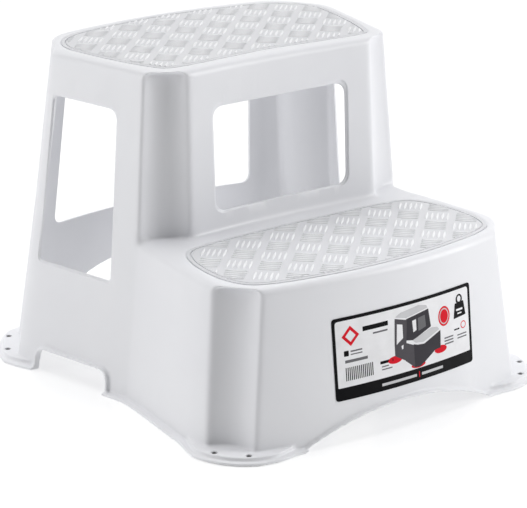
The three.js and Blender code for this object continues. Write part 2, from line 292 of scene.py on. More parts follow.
def side_x(y, z):
    """The side wall, which leans a little less above the lower tread."""
    draft = np.where(np.asarray(z) > STEP, UPPER_SIDE_DRAFT, DRAFT)
    return SIDE_X + SIDE_SLOPE * (y - SIDE_Y) + draft * (STEP - z)


def riser_half(z):
    return RISER_HALF - RISER_NARROWING * (z - STEP)


def riser_face(x, z):
    share = np.clip(np.abs(x) / riser_half(z), 0, 1)
    return RISER_Y + RISER_DRAFT * (z - STEP) + RISER_BOW * (1 - share ** 2)


def rounding(z, flute_top, count):
    """How far the scoop has run out at one height, across its width: 0 is the full scoop, 1 is none."""
    t = np.linspace(0, 1, count, endpoint=False)
    edge = np.minimum(t, 1 - t) * FLUTE_WIDTH
    inside = np.clip(FLUTE_CORNER - edge, 0, FLUTE_CORNER)
    end = flute_top - FLUTE_CORNER + np.sqrt(FLUTE_CORNER ** 2 - inside ** 2)
    return smoothed(np.clip((z - end) / FLUTE_FADE, 0, 1))


def scoop(start, end, peak, plain):
    """The scooped corner between two points, plain where it has run out."""
    start, end, peak = (np.asarray(p, float) for p in (start, end, peak))
    chord = end - start
    inward = np.array([-chord[1], chord[0]]) / np.hypot(*chord)
    hollow = (start + end) / 2 + inward * 2 * FLUTE_SAG
    count = len(plain)
    a = bezier([start, hollow, end], count)
    b = bezier([start, peak, end], count)
    return a + (b - a) * plain[:, None]


def tall_half(z, plain):
    """The right half of the tall block at one height, from its front middle to its rear middle."""
    shift = wall_shift(z)
    riser_y = RISER_Y + RISER_DRAFT * (z - STEP)
    flute_y = SIDE_Y + TALL_FLUTE_DRIFT * (z - STEP)
    half = riser_half(z)
    riser_end = np.array([half, riser_y])
    side_start = np.array([side_x(flute_y, z), flute_y])
    front_peak = np.array([side_x(riser_y, z), riser_y])
    slope = 2 * REAR_BOW / REAR_FLAT_END
    rear_end = np.array([REAR_FLAT_END, REAR_Y + shift - REAR_BOW])
    peak_y = (rear_end[1] - slope * (side_x(0, z) - rear_end[0])) / (1 + slope * SIDE_SLOPE)
    peak = np.array([side_x(peak_y, z), peak_y])
    reach = REAR_REACH + REAR_SPREAD * shift
    side_end = peak + (side_start - peak) / np.hypot(*(side_start - peak)) * reach
    rear_start = peak + (rear_end - peak) / np.hypot(*(rear_end - peak)) * reach
    middle = (0, REAR_Y + shift)
    bowed = riser_y + RISER_BOW
    return np.vstack([
        bezier([(0, bowed), (half / 2, bowed), riser_end], SHORT_WALL_POINTS),
        scoop(riser_end, side_start, fuller(riser_end, side_start, front_peak, FRONT_FULLNESS), plain),
        bezier([side_start, side_end], LONG_WALL_POINTS),
        rear_corner(side_end, rear_start, peak, plain),
        bezier([rear_start, (rear_start[0] / 2, middle[1]), middle], SHORT_WALL_POINTS, last=True),
    ])


def rear_corner(start, end, peak, plain):
    """The wide rear corner, with a scoop over the middle part of its arc."""
    count = REAR_CORNER_POINTS
    start_pull = start + (peak - start) * REAR_CORNER_PULL
    end_pull = end + (peak - end) * REAR_CORNER_PULL
    arc = bezier([start, start_pull, end_pull, end], count, last=True)
    first, last = (round(share * count) for share in REAR_SCOOP)
    a, b = arc[first], arc[last]
    top = 2 * arc[count // 2] - (a + b) / 2
    hollow = scoop(a, b, fuller(a, b, top, REAR_FULLNESS), plain)
    return np.vstack([arc[:first], hollow, arc[last:count]])


def fuller(start, end, peak, fullness):
    """Where a corner's curve is pulled to: from the middle of its chord, 0, to its peak, 1."""
    middle = (start + end) / 2
    return middle + (peak - middle) * fullness


def front_wall(z):
    """The front wall at one height: its foremost y, its half width, and the y of its ends."""
    below = STEP - z
    middle_y = FRONT_Y - DRAFT * below
    half = FRONT_END[0] + FRONT_DRIFT[0] * below
    end_y = FRONT_END[1] - FRONT_DRIFT[1] * below
    return middle_y, half, end_y


def front_wall_y(x, z):
    middle_y, half, end_y = front_wall(z)
    return middle_y + (x / half) ** 2 * (end_y - middle_y)


def low_half(z, plain):
    """The right half of the low block at one height; its rear part lies inside the tall block."""
    shift = wall_shift(z)
    middle_y, half, end_y = front_wall(z)
    flute_start = np.array([half, end_y])
    flute_end = np.array([HIP[0] + shift, LOW_FLUTE_Y - LOW_FLUTE_DRIFT * (STEP - z)])
    slope = 2 * (end_y - middle_y) / half
    crossing = np.array([flute_end[0], end_y + slope * (flute_end[0] - half)])
    peak = fuller(flute_start, flute_end, crossing, LOW_FULLNESS)
    hip = (HIP[0] + shift, HIP[1])
    waist = (WAIST[0] + shift, WAIST[1])
    side = [hip, (HIP_PULL[0] + shift, HIP_PULL[1]), (WAIST_PULL[0] + shift, WAIST_PULL[1]), waist]
    return np.vstack([
        bezier([(0, middle_y), (half / 2, middle_y), flute_start], LONG_WALL_POINTS),
        scoop(flute_start, flute_end, peak, plain),
        bezier([flute_end, hip], 4),
        bezier(side, LONG_WALL_POINTS),
        bezier([waist, INNER_END], 12),
        bezier([INNER_END, (0, INNER_END[1])], 20, last=True),
    ])


def outline(half, z, flute_top, growth):
    """One block at one height, grown by a distance or by what a function gives for each point."""
    plain = rounding(z, flute_top, SCOOP_POINTS) if flute_top else np.ones(SCOOP_POINTS)
    points = eased(mirrored(half(z, plain)), 4)
    return offset(points, growth(points) if callable(growth) else growth)


# Feet

def foot_share(foot, points):
    """How much of a foot there is at each point: 1 in its core, 0 outside its zone."""
    (x, y), core, zone = foot[:3]
    away = np.hypot(np.abs(points[:, 0]) - x, points[:, 1] - y)
    return smoothed(np.clip((zone - away) / (zone - core), 0, 1))


def flange_reach(points):
    """How far the bottom flange stands out beyond the wall."""
    return FLANGE_REACH + sum((foot[3] - FLANGE_REACH) * foot_share(foot, points) for foot in FEET)


def shelf_reach(points):
    """The raised shelf of each foot, which dips inside the wall between the feet."""
    hidden = SHELF_HIDDEN
    return sum((foot[3] - SHELF_INSET + hidden) * foot_share(foot, points) for foot in FEET) - hidden


# Meshes

def placed(name, vertices, faces):
    """A mesh object from points in the plan frame."""
    points = (np.asarray(vertices, float) + (0, PLAN_SHIFT, 0)) * MM
    mesh = bpy.data.meshes.new(name)
    mesh.from_pydata(points.tolist(), [], faces)
    mesh.update()
    made = bpy.data.objects.new(name, mesh)
    bpy.context.scene.collection.objects.link(made)
    return made


def ring_faces(rings, count, start=0):
    """Faces of a closed solid through rings of points, with flat ends."""
    faces = []
    for level in range(rings - 1):
        for i in range(count):
            a = start + level * count + i
            b = start + level * count + (i + 1) % count
            faces.append((a, b, b + count, a + count))
    last = start + (rings - 1) * count
    faces.append(tuple(range(start, start + count))[::-1])
    faces.append(tuple(range(last, last + count)))
    return faces


def stacked(name, rings):
    """A closed solid through rings of 3-D points, its faces turned outward."""
    made = placed(name, np.vstack(rings), ring_faces(len(rings), len(rings[0])))
    turned = bmesh.new()
    turned.from_mesh(made.data)
    bmesh.ops.recalc_face_normals(turned, faces=turned.faces)
    if turned.calc_volume(signed=True) < 0:
        bmesh.ops.reverse_faces(turned, faces=turned.faces)
    turned.to_mesh(made.data)
    turned.free()
    return made


def loft(name, rows):
    """A closed solid through level outlines: rows are (height, points)."""
    return stacked(name, [np.column_stack([points, np.full(len(points), z)]) for z, points in rows])


def prism(name, shape, along, low, high):
    """A closed outline pushed along X, Y or Z from one depth to another."""
    shape = np.asarray(shape, float)
    ends = [np.column_stack([shape, np.full(len(shape), depth)]) for depth in (low, high)]
    return stacked(name, [end[:, AXES[along]] for end in ends])


def rounded(corners, radii, steps=10):
    """A closed outline with its corners rounded, each by its own radius."""
    corners = [np.asarray(c, float) for c in corners]
    points = []
    for i, corner in enumerate(corners):
        before = corners[i - 1] - corner
        after = corners[(i + 1) % len(corners)] - corner
        start = corner + before / np.hypot(*before) * radii[i]
        end = corner + after / np.hypot(*after) * radii[i]
        points.append(bezier([start, corner, end], steps, last=True))
    return np.vstack(points)


def circle(centre, radius, count=48):
    angle = np.linspace(0, 2 * math.pi, count, endpoint=False)
    return np.column_stack([centre[0] + radius * np.cos(angle), centre[1] + radius * np.sin(angle)])


def combine(operation, first, others):
    """Cuts, joins or intersects one solid with others, which are used up."""
    for other in others:
        step = first.modifiers.new("combine", "BOOLEAN")
        step.operation = operation
        step.solver = "MANIFOLD"
        step.object = other
    bake(first)
    for other in others:
        bpy.data.objects.remove(other)
    return first


def bake(made):
    """Applies every modifier of an object."""
    bpy.context.view_layer.update()
    shaped = made.evaluated_get(bpy.context.evaluated_depsgraph_get())
    mesh = bpy.data.meshes.new_from_object(shaped)
    old = made.data
    made.modifiers.clear()
    made.data = mesh
    bpy.data.meshes.remove(old)


def block(name, half, bottom, top, growth, crown):
    """One block from the rim to its tread, grown by a distance, its top edge rounded over."""
    radius = EDGE_RADIUS + growth
    flute_top = top - FLUTE_BELOW_TOP
    levels = list(np.linspace(bottom, flute_top - FLUTE_CORNER, WALL_LEVELS))
    levels += list(np.linspace(flute_top - FLUTE_CORNER, crown - radius, TOP_LEVELS)[1:])
    rows = [(z, outline(half, z, flute_top, growth)) for z in levels]
    for angle in np.linspace(0, math.pi / 2, EDGE_LEVELS)[1:]:
        z = crown - radius + radius * math.sin(angle)
        inset = radius * (1 - math.cos(angle))
        rows.append((z, outline(half, z, flute_top, growth - inset)))
    return loft(name, rows)


def skirt(name, bottom, top, growth):
    """A plate that follows the walls of both blocks and stands out beyond them."""
    low = loft(name, [(z, outline(low_half, z, None, growth)) for z in (bottom, top)])
    tall = loft(name, [(z, outline(tall_half, z, None, growth)) for z in (bottom, top)])
    return combine("UNION", tall, [low])


# Openings

def front_arch(extra):
    half, rise = FRONT_ARCH[0] + extra, FRONT_ARCH[1] + extra
    radius = (half ** 2 + rise ** 2) / (2 * rise)
    sweep = math.asin(half / radius)
    angle = np.linspace(-sweep, sweep, ARCH_POINTS)
    arc = np.column_stack([radius * np.sin(angle), rise - radius + radius * np.cos(angle)])
    return np.vstack([[(-half, ARCH_BOTTOM)], arc, [(half, ARCH_BOTTOM)]])


def rear_arch(extra):
    angle = np.linspace(0, math.pi, ARCH_POINTS)
    half, rise = REAR_ARCH[0] + extra, REAR_ARCH[1] + extra
    arc = np.column_stack([half * np.cos(angle), rise * np.sin(angle)])
    return np.vstack([[(half, ARCH_BOTTOM)], arc, [(-half, ARCH_BOTTOM)]])


def side_arch(extra):
    spread = np.array([(-extra, 0), (extra, 0), (extra, extra), (-extra, extra)])
    radius = SIDE_ARCH_RADIUS + extra
    return rounded(np.array(SIDE_ARCH) + spread, (1, 1, radius, radius))


def arches(extra):
    """The openings at the rim, each larger by the extra distance."""
    return [
        prism("arch", front_arch(extra), "Y", -BEYOND, FRONT_ARCH_END),
        prism("arch", rear_arch(extra), "Y", REAR_ARCH_START, BEYOND),
        prism("arch", side_arch(extra), "X", -BEYOND, BEYOND),
    ]


def flared(outer, inner, along, face, inward):
    """A window with a rounded rim that narrows through its wall.

    Face gives the outer side of the wall for points of an outline, and inward is its sign along the axis.
    """
    near_rim = 0.3 * WINDOW_ROUNDING
    levels = [
        (-CUT_MARGIN, offset(outer, WINDOW_ROUNDING)),
        (0, offset(outer, WINDOW_ROUNDING)),
        (near_rim, offset(outer, near_rim)),
        (WINDOW_ROUNDING, outer),
        (0.6 * WALL, (outer + 3 * inner) / 4),
        (WALL, inner),
        (CUT_MARGIN, inner),
    ]
    rings = [np.column_stack([shape, face(shape) + inward * depth]) for depth, shape in levels]
    return stacked("window", [ring[:, AXES[along]] for ring in rings])


def windows():
    front = [rounded(corners, (FRONT_RADIUS,) * 4) for corners in (FRONT_WINDOW, FRONT_WINDOW_INNER)]
    side = [rounded(corners, SIDE_WINDOW_RADII) for corners in (SIDE_WINDOW, SIDE_WINDOW_INNER)]
    return [
        flared(*front, "Y", lambda shape: riser_face(shape[:, 0], shape[:, 1]), 1),
        flared(*side, "X", lambda shape: side_x(shape[:, 0], shape[:, 1]), -1),
        flared(*side, "X", lambda shape: -side_x(shape[:, 0], shape[:, 1]), 1),
        prism("window", rounded(REAR_WINDOW, (REAR_WINDOW_RADIUS,) * 4), "Y", REAR_WINDOW_START, BEYOND),
    ]


# The moulded shell

def moulding():
    """The closed wall solid, before its edges are softened and its windows are cut."""
    outside = block("shell", tall_half, RIM, TOP, 0, TOP - TREAD_DROP)
    low = block("low", low_half, RIM, STEP, 0, STEP - TREAD_DROP)
    lips = arch_lips()
    flange = skirt("flange", RIM, FLANGE_TOP, flange_reach)
    shelves = skirt("shelves", RIM, FOOT_TOP, shelf_reach)
    combine("UNION", outside, [low, lips, flange, shelves])
    inside = block("inside", tall_half, HOLLOW_BOTTOM, TOP, -WALL, TOP - TREAD_THICKNESS)
    inside_low = block("inside_low", low_half, HOLLOW_BOTTOM, STEP, -WALL, STEP - TREAD_THICKNESS)
    combine("UNION", inside, [inside_low])
    recesses = [recess(UPPER_BORDER, TOP), recess(LOWER_BORDER, STEP)]
    return combine("DIFFERENCE", outside, [inside] + arches(0) + peg_holes() + recesses)


def arch_lips():
    """The raised band round each arch."""
    first, *others = arches(ARCH_LIP_BAND)
    zone = combine("UNION", first, others)
    band = skirt("lips", RIM, REAR_ARCH[1] + 2 * ARCH_LIP_BAND, ARCH_LIP_REACH)
    return combine("INTERSECT", band, [zone])


def recess(points, top):
    return prism("recess", border(points, 0), "Z", top - TREAD_DROP - RECESS_DEPTH, top + CLEARANCE)


def peg_holes(sides=24):
    spots = [(side * x, y) for foot in FEET for x, y in foot[4] for side in (-1, 1)]
    return [prism("hole", circle(spot, PEG_HOLE, sides), "Z", -CLEARANCE, FOOT_TOP + CLEARANCE)
            for spot in spots]


def shade_smooth(made):
    made.data.polygons.foreach_set("use_smooth", np.ones(len(made.data.polygons), bool))


def relaxed(made, passes, share_at, step=0.6, least=0.01):
    """Smooths a dense mesh, each vertex by the share that is given for its place in the plan frame."""
    mesh = made.data
    count = len(mesh.vertices)
    place = np.empty(count * 3)
    mesh.vertices.foreach_get("co", place)
    place = place.reshape(-1, 3)
    ends = np.empty(len(mesh.edges) * 2, np.int64)
    mesh.edges.foreach_get("vertices", ends)
    ends = ends.reshape(-1, 2)
    share = share_at(place / MM - (0, PLAN_SHIFT, 0))
    touched = np.flatnonzero(share > least)
    keep = np.isin(ends[:, 0], touched) | np.isin(ends[:, 1], touched)
    ends = ends[keep]
    degree = np.maximum(np.bincount(ends.ravel(), minlength=count), 1)
    for _ in range(passes):
        mean = np.empty_like(place)
        for k in range(3):
            total = np.bincount(ends[:, 0], place[ends[:, 1], k], count)
            total += np.bincount(ends[:, 1], place[ends[:, 0], k], count)
            mean[:, k] = total / degree
        place[touched] += (mean - place)[touched] * (step * share[touched])[:, None]
    mesh.vertices.foreach_set("co", place.ravel())
    mesh.update()


def closeness(value, middle, reach):
    """1 at the middle, falling evenly to 0 at the reach."""
    return np.clip(1 - np.abs(value - middle) / reach, 0, 1)


def crease_softness(place):
    """How soft the moulding is at each point: most at the foot of the riser and where the blocks meet."""
    x, y, z = np.abs(place[:, 0]), place[:, 1], place[:, 2]
    riser_foot = closeness(z, STEP, RISER_FOOT_HEIGHT) * closeness(y, RISER_FOOT_Y, RISER_FOOT_DEPTH)
    riser_foot = riser_foot * (x < RISER_FOOT_HALF)
    meeting = closeness(x, MEETING[0], MEETING_REACH[0]) * closeness(y, MEETING[1], MEETING_REACH[1])
    rise, fall = MEETING_FADE
    meeting = meeting * np.clip((STEP + fall - z) / fall, 0, 1) * np.clip((z - MEETING_BOTTOM) / rise, 0, 1)
    return np.clip(SOFTNESS * np.maximum(riser_foot, meeting), 0, 1)


def all_over(place):
    return np.ones(len(place))


def moulded_shell():
    made = moulding()
    even = made.modifiers.new("even_mesh", "REMESH")
    even.mode = "VOXEL"
    even.voxel_size = VOXEL * MM
    bake(made)
    relaxed(made, 40, crease_softness)
    relaxed(made, 2, all_over)
    thinning = made.modifiers.new("thinning", "DECIMATE")
    thinning.ratio = SHELL_FACES / (2 * len(made.data.polygons))
    bake(made)
    combine("DIFFERENCE", made, windows())
    shade_smooth(made)
    made.data.set_sharp_from_angle(angle=math.radians(SHARP_ANGLE))
    return made


# Treads

def border(points, growth):
    """The closed border line of a tread, grown by a distance."""
    half = np.array(points, float)
    return offset(spline(mirrored(half), BORDER_POINTS), growth)


def plate(name, shape, bottom, top, bevel):
    """A flat closed plate with a bevelled top edge."""
    near_top = 0.3 * bevel
    return loft(name, [
        (bottom, shape),
        (top - bevel, shape),
        (top - near_top, offset(shape, -near_top)),
        (top, offset(shape, -bevel)),
    ])


def lens(centre, turn, bottom, top, sides=14, pointed=0.35, blunt=0.9):
    """One raised bar of the pattern: a pointed oval that narrows towards its top."""
    rows = []
    angle = np.linspace(0, 2 * math.pi, sides, endpoint=False)
    along = np.sign(np.cos(angle)) * np.abs(np.cos(angle)) ** blunt
    across = np.sin(angle) * (1 - pointed * np.abs(np.cos(angle)))
    shoulder = bottom + 0.45 * (top - bottom)
    for z, length, width in ((bottom, 1, 1), (shoulder, 0.98, 0.9), (top, 0.86, 0.45)):
        u = along * BAR_LENGTH / 2 * length
        v = across * BAR_WIDTH / 2 * width
        x = centre[0] + u * math.cos(turn) - v * math.sin(turn)
        y = centre[1] + u * math.sin(turn) + v * math.cos(turn)
        rows.append(np.column_stack([x, y, np.full(len(x), z)]))
    return rows


def bar_pattern(name, anchor, shape, bottom, top):
    """Groups of five diagonal bars, turned a right angle from each group to the next."""
    rings = []
    faces = []
    for turn, shift in ((math.pi / 4, (0, 0)), (-math.pi / 4, (BAR_PITCH_X / 2, BAR_PITCH_Y / 2))):
        for i, j, k in itertools.product(BAR_GROUPS, BAR_GROUPS, range(BARS)):
            step = (k - (BARS - 1) / 2) * BAR_STEP
            x = anchor[0] + i * BAR_PITCH_X + shift[0] - step * math.sin(turn)
            y = anchor[1] + j * BAR_PITCH_Y + shift[1] + step * math.cos(turn)
            if near_outline((x, y), shape, BAR_LENGTH / 2):
                rows = lens((x, y), turn, bottom, top)
                faces += ring_faces(len(rows), len(rows[0]), len(rings) * len(rows[0]))
                rings += rows
    return placed(name, np.vstack(rings), faces)


def near_outline(point, shape, margin):
    """Whether a point is inside a closed outline, or within a margin of it."""
    x, y = point
    a, b = shape, np.roll(shape, -1, 0)
    crosses = (a[:, 1] > y) != (b[:, 1] > y)
    rise = np.where(b[:, 1] == a[:, 1], 1, b[:, 1] - a[:, 1])
    slope = np.where(crosses, (b[:, 0] - a[:, 0]) / rise, 0)
    inside = np.sum(crosses & (x < a[:, 0] + slope * (y - a[:, 1]))) % 2 == 1
    return inside or np.hypot(shape[:, 0] - x, shape[:, 1] - y).min() < margin


def tread(name, points, anchor, top, shaded_field_plastic, lit_bar_plastic):
    """The patterned panel of one tread, let into the top of its block, with painted shade on its field and a
    painted highlight on its bars.
    """
    crown = top - TREAD_DROP
    groove_floor = crown - GROOVE_DEPTH
    inner = border(points, -BORDER_BAND)
    panel = prism(name, border(points, -GROOVE), "Z", crown - PANEL_DEPTH, groove_floor)
    root = groove_floor - PLATE_ROOT
    ring = plate("ring", border(points, -GROOVE), root, crown, FIELD_BEVEL)
    combine("DIFFERENCE", ring, [prism("opening", inner, "Z", crown - CLEARANCE, crown + CLEARANCE)])
    field = plate("field", border(points, -BORDER_BAND - GROOVE), root, crown, FIELD_BEVEL)
    combine("UNION", panel, [ring, field])
    bars = bar_pattern("bars", anchor, inner, crown - BAR_ROOT, top - BAR_TOP_GAP)
    within = border(points, -BORDER_BAND - BAR_MARGIN)
    limit = prism("limit", within, "Z", crown - CLEARANCE, crown + CLEARANCE)
    combine("INTERSECT", bars, [limit])
    # The field's darker colour is painted shade between the raised bars, and the bars' lighter colour is a
    # painted highlight on them.
    coated(panel, shaded_field_plastic)
    coated(bars, lit_bar_plastic)
    return joined([panel, bars])


def coated(made, material):
    """Gives an object one material in place of all it had."""
    made.data.materials.clear()
    made.data.materials.append(material)


# Label on the front wall

def label_spot(u, v, lift):
    """A point of the label, from its lower left corner, lifted off the wall's gap line."""
    x = LABEL_CENTRE - LABEL_WIDTH / 2 + u
    z = LABEL_BOTTOM + v
    return x, front_wall_y(x, z) - LABEL_GAP - lift, z


def label_patch(name, shape, low, high):
    """A printed shape as a thin closed plate that follows the bowed wall."""
    flat = bmesh.new()
    flat.faces.new([flat.verts.new((u, v, 0)) for u, v in shape])
    left = math.floor(min(u for u, v in shape))
    right = math.ceil(max(u for u, v in shape))
    for cut in np.arange(left + LABEL_FOLD, right, LABEL_FOLD):
        geometry = flat.verts[:] + flat.edges[:] + flat.faces[:]
        bmesh.ops.bisect_plane(flat, geom=geometry, plane_co=(cut, 0, 0), plane_no=(1, 0, 0), dist=1e-4)
    bmesh.ops.recalc_face_normals(flat, faces=flat.faces[:])
    base = flat.faces[:]
    if base[0].normal.z < 0:
        bmesh.ops.reverse_faces(flat, faces=base)
    raised = bmesh.ops.extrude_face_region(flat, geom=flat.faces[:])
    for vertex in [v for v in raised["geom"] if isinstance(v, bmesh.types.BMVert)]:
        vertex.co.z = 1
    bmesh.ops.recalc_face_normals(flat, faces=flat.faces[:])
    for vertex in flat.verts:
        lift = low + (high - low) * vertex.co.z
        x, y, z = label_spot(vertex.co.x, vertex.co.y, lift)
        vertex.co = Vector((x, y + PLAN_SHIFT, z)) * MM
    mesh = bpy.data.meshes.new(name)
    flat.to_mesh(mesh)
    flat.free()
    made = bpy.data.objects.new(name, mesh)
    bpy.context.scene.collection.objects.link(made)
    return made


def plaque(u, v, width, height, radius=0.0):
    """A rectangle on the label from its lower left corner, with rounded corners if wanted."""
    corners = ((u, v), (u + width, v), (u + width, v + height), (u, v + height))
    if radius:
        return rounded(corners, (radius,) * 4, 6)
    return np.array(corners, float)


def disc(u, v, wide, high, count=28):
    angle = np.linspace(0, 2 * math.pi, count, endpoint=False)
    return np.column_stack([u + wide * np.cos(angle), v + high * np.sin(angle)])


def label_art():
    """What is printed on the label, as (ink, layer, shape): plain bars in place of words, and signs."""
    panel = [
        ("white", 1, rounded(((4, 15), (206, 15), (206, 93), (4, 93)), (1.5, 1.5, 4, 4), 6)),
        ("red", 2, disc(85, 33, 10.5, 4.6)),
        ("red", 2, disc(119.5, 19.2, 11, 3.6)),
        ("red", 2, disc(156, 29, 10, 4.6)),
    ]
    return panel + stool_sign() + round_sign() + weight_sign() + diamond_sign() + bar_groups()


def round_sign():
    return [
        ("red", 2, disc(164, 67, 9.6, 12)),
        ("pale", 3, disc(164, 67, 7.6, 9.6)),
        ("red", 4, disc(164, 67, 6.4, 8.2)),
    ]


def weight_sign():
    """A plain weight with a ring on top."""
    return [
        ("black", 2, np.array([(180, 59), (201, 60.5), (198, 78), (183, 77)])),
        ("black", 2, disc(190.5, 81, 5.6, 6.2)),
        ("white", 3, disc(190.5, 81.5, 3, 3.6)),
        ("white", 3, plaque(185, 67.5, 11, 2.4)),
        ("white", 3, plaque(187, 63.5, 7, 1.6)),
    ]


def diamond_sign():
    return [
        ("red", 2, np.array([(24, 62), (36, 74), (24, 86), (12, 74)])),
        ("white", 3, np.array([(24, 67), (31, 74), (24, 81), (17, 74)])),
    ]


def bar_groups():
    """Plain bars where the print is."""
    bars = [
        ("black", 2, (41, 76, 36, 5.5)), ("grey", 2, (55, 70, 21, 2)),
        ("black", 2, (14, 51, 6.5, 6.5, 1)), ("grey", 2, (23, 55, 16, 1.8)),
        ("grey", 2, (23, 51.5, 16, 1.4)), ("grey", 2, (15, 43, 31, 3.4)),
        ("black", 2, (63, 32, 19, 3.4)), ("grey", 2, (65, 28, 10, 1.4)), ("grey", 2, (65, 24.5, 15, 1.4)),
        ("black", 2, (180, 45, 9, 1.8)),
        ("pale", 1, (64, 5.6, 52, 3.2)), ("red", 1, (119.5, 4, 1.2, 7)), ("pale", 1, (124, 5.6, 34, 3.2)),
    ]
    bars += [("black", 2, (15 + 2.6 * k, 22, 1.3, 15.5)) for k in range(15)]
    bars += [("grey", 2, (163, 32 + 3.6 * k, 15, 1.7)) for k in range(3)]
    bars += [("grey", 2, (185, 34 + 3.6 * k, 16, 1.5)) for k in range(2)]
    ring = [("red", 2, disc(196, 49, 4.6, 4.6)), ("white", 3, disc(196, 49, 3.4, 3.4))]
    return [(ink, layer, plaque(*place)) for ink, layer, place in bars] + ring


def stool_sign():
    """A small drawing of a two-step stool."""
    shapes = {
        "sign_side": [
            [(87, 81), (105, 76), (103, 52), (101, 28), (85, 37), (85, 50)],
            [(100, 50), (114, 44), (114, 17), (100, 28)],
        ],
        "sign_front": [
            [(104, 77), (139, 82), (142, 60), (113, 50), (102, 52)],
            [(113.5, 45), (120, 43), (130, 42), (157, 52), (156, 31), (147, 30.5), (131, 21), (122, 16.5),
             (113.5, 17)],
        ],
        "white": [
            [(90, 74), (98, 72), (98, 56), (88, 50)],
            [(113, 73), (119, 74), (119, 61), (114, 59)],
            [(95, 47), (98, 48), (97.5, 43), (95.5, 43)],
        ],
        "grey": [
            [(122, 74.5), (133, 76), (134, 62), (122, 59)],
        ],
        "pale": [
            [(88, 82.5), (104, 78.5), (138, 83.5), (136, 87), (124, 89.5), (96, 86.5)],
            [(112, 50), (117, 46), (129, 44.5), (155, 53.5), (152, 57), (142, 58.5)],
        ],
    }
    layer = {"sign_side": 3, "sign_front": 3, "white": 4, "grey": 4, "pale": 5}
    return [(ink, layer[ink], np.array(shape, float)) for ink, group in shapes.items() for shape in group]


def front_label(inks):
    sheet = plaque(0, 0, LABEL_WIDTH, LABEL_HEIGHT, LABEL_RADIUS)
    backing = label_patch("front_label", sheet, 0, BACKING_THICKNESS)
    backing.data.materials.append(inks["black"])
    patches = [backing]
    for ink, layer, shape in label_art():
        patch = label_patch("print", shape, PRINT_ROOT, BACKING_THICKNESS + PRINT_LAYER * layer)
        patch.data.materials.append(inks[ink])
        patches.append(patch)
    return joined(patches)


def joined(objects):
    """Merges several objects into the first one and keeps their materials."""
    whole = bmesh.new()
    materials = []
    for part in objects:
        ink = part.data.materials[0]
        if ink not in materials:
            materials.append(ink)
        first = len(whole.faces)
        whole.from_mesh(part.data)
        whole.faces.ensure_lookup_table()
        for face in whole.faces[first:]:
            face.material_index = materials.index(ink)
    for part in objects[1:]:
        bpy.data.objects.remove(part)
    objects[0].data.materials.clear()
    for ink in materials:
        objects[0].data.materials.append(ink)
    whole.to_mesh(objects[0].data)
    whole.free()
    return objects[0]


# Materials

def new_material(name, color, roughness, specular=0.5):
    material = bpy.data.materials.new(name)
    material.use_nodes = True
    shader = material.node_tree.nodes["Principled BSDF"]
    shader.inputs["Base Color"].default_value = (*color, 1)
    shader.inputs["Roughness"].default_value = roughness
    shader.inputs["Specular IOR Level"].default_value = specular
    return material, material.node_tree, shader


def noise(tree, scale, detail=2.0, stretch=(1, 1, 1)):
    """Cloudy noise over the object, in its own space."""
    place = tree.nodes.new("ShaderNodeTexCoord")
    mapping = tree.nodes.new("ShaderNodeMapping")
    mapping.inputs["Scale"].default_value = stretch
    tree.links.new(place.outputs["Object"], mapping.inputs["Vector"])
    made = tree.nodes.new("ShaderNodeTexNoise")
    made.inputs["Scale"].default_value = scale
    made.inputs["Detail"].default_value = detail
    tree.links.new(mapping.outputs["Vector"], made.inputs["Vector"])
    return made.outputs["Fac"]


def ramp(tree, source, low, high, start=0.3, end=0.7):
    """Turns the values from start to end into another range."""
    made = tree.nodes.new("ShaderNodeMapRange")
    made.inputs["From Min"].default_value = start
    made.inputs["From Max"].default_value = end
    made.inputs["To Min"].default_value = low
    made.inputs["To Max"].default_value = high
    tree.links.new(source, made.inputs["Value"])
    return made.outputs["Result"]


def mixed(tree, share, first, second):
    """A colour between two, by a share from 0 to 1."""
    made = tree.nodes.new("ShaderNodeMix")
    made.data_type = "RGBA"
    made.inputs[6].default_value = (*first, 1)
    made.inputs[7].default_value = (*second, 1)
    tree.links.new(share, made.inputs[0])
    return made.outputs[2]


def bump(tree, height, strength, distance=0.0002):
    made = tree.nodes.new("ShaderNodeBump")
    made.inputs["Strength"].default_value = strength
    made.inputs["Distance"].default_value = distance
    tree.links.new(height, made.inputs["Height"])
    return made.outputs["Normal"]


def moulded_plastic(name, color, deep, roughness, grain):
    """Moulded plastic: cloudy tone, uneven gloss, a fine grain, and dulled edges."""
    material, tree, shader = new_material(name, color, roughness)
    cloud = ramp(tree, noise(tree, 7.0, 3.0), 0, 1)
    tree.links.new(mixed(tree, cloud, color, deep), shader.inputs["Base Color"])
    pointed = tree.nodes.new("ShaderNodeNewGeometry").outputs["Pointiness"]
    worn = ramp(tree, pointed, 0, 1, 0.52, 0.6)
    uneven = ramp(tree, noise(tree, 55.0, 4.0, (1, 1, 0.35)), roughness - 0.05, roughness + 0.06)
    dull = tree.nodes.new("ShaderNodeMath")
    dull.operation = "MULTIPLY_ADD"
    dull.inputs[1].default_value = 0.08
    tree.links.new(worn, dull.inputs[0])
    tree.links.new(uneven, dull.inputs[2])
    tree.links.new(dull.outputs["Value"], shader.inputs["Roughness"])
    tree.links.new(bump(tree, noise(tree, grain), 0.12), shader.inputs["Normal"])
    return material


def printed_film(name, color):
    """Glossy print that has faded in patches."""
    material, tree, shader = new_material(name, color, 0.5, 0.06)
    faded = tuple(c * 0.92 + 0.003 for c in color)
    patches = ramp(tree, noise(tree, 60.0, 3.0), 0, 1)
    tree.links.new(mixed(tree, patches, color, faded), shader.inputs["Base Color"])
    tree.links.new(ramp(tree, noise(tree, 90.0, 3.0), 0.33, 0.48), shader.inputs["Roughness"])
    tree.links.new(bump(tree, noise(tree, 240.0), 0.1), shader.inputs["Normal"])
    return material


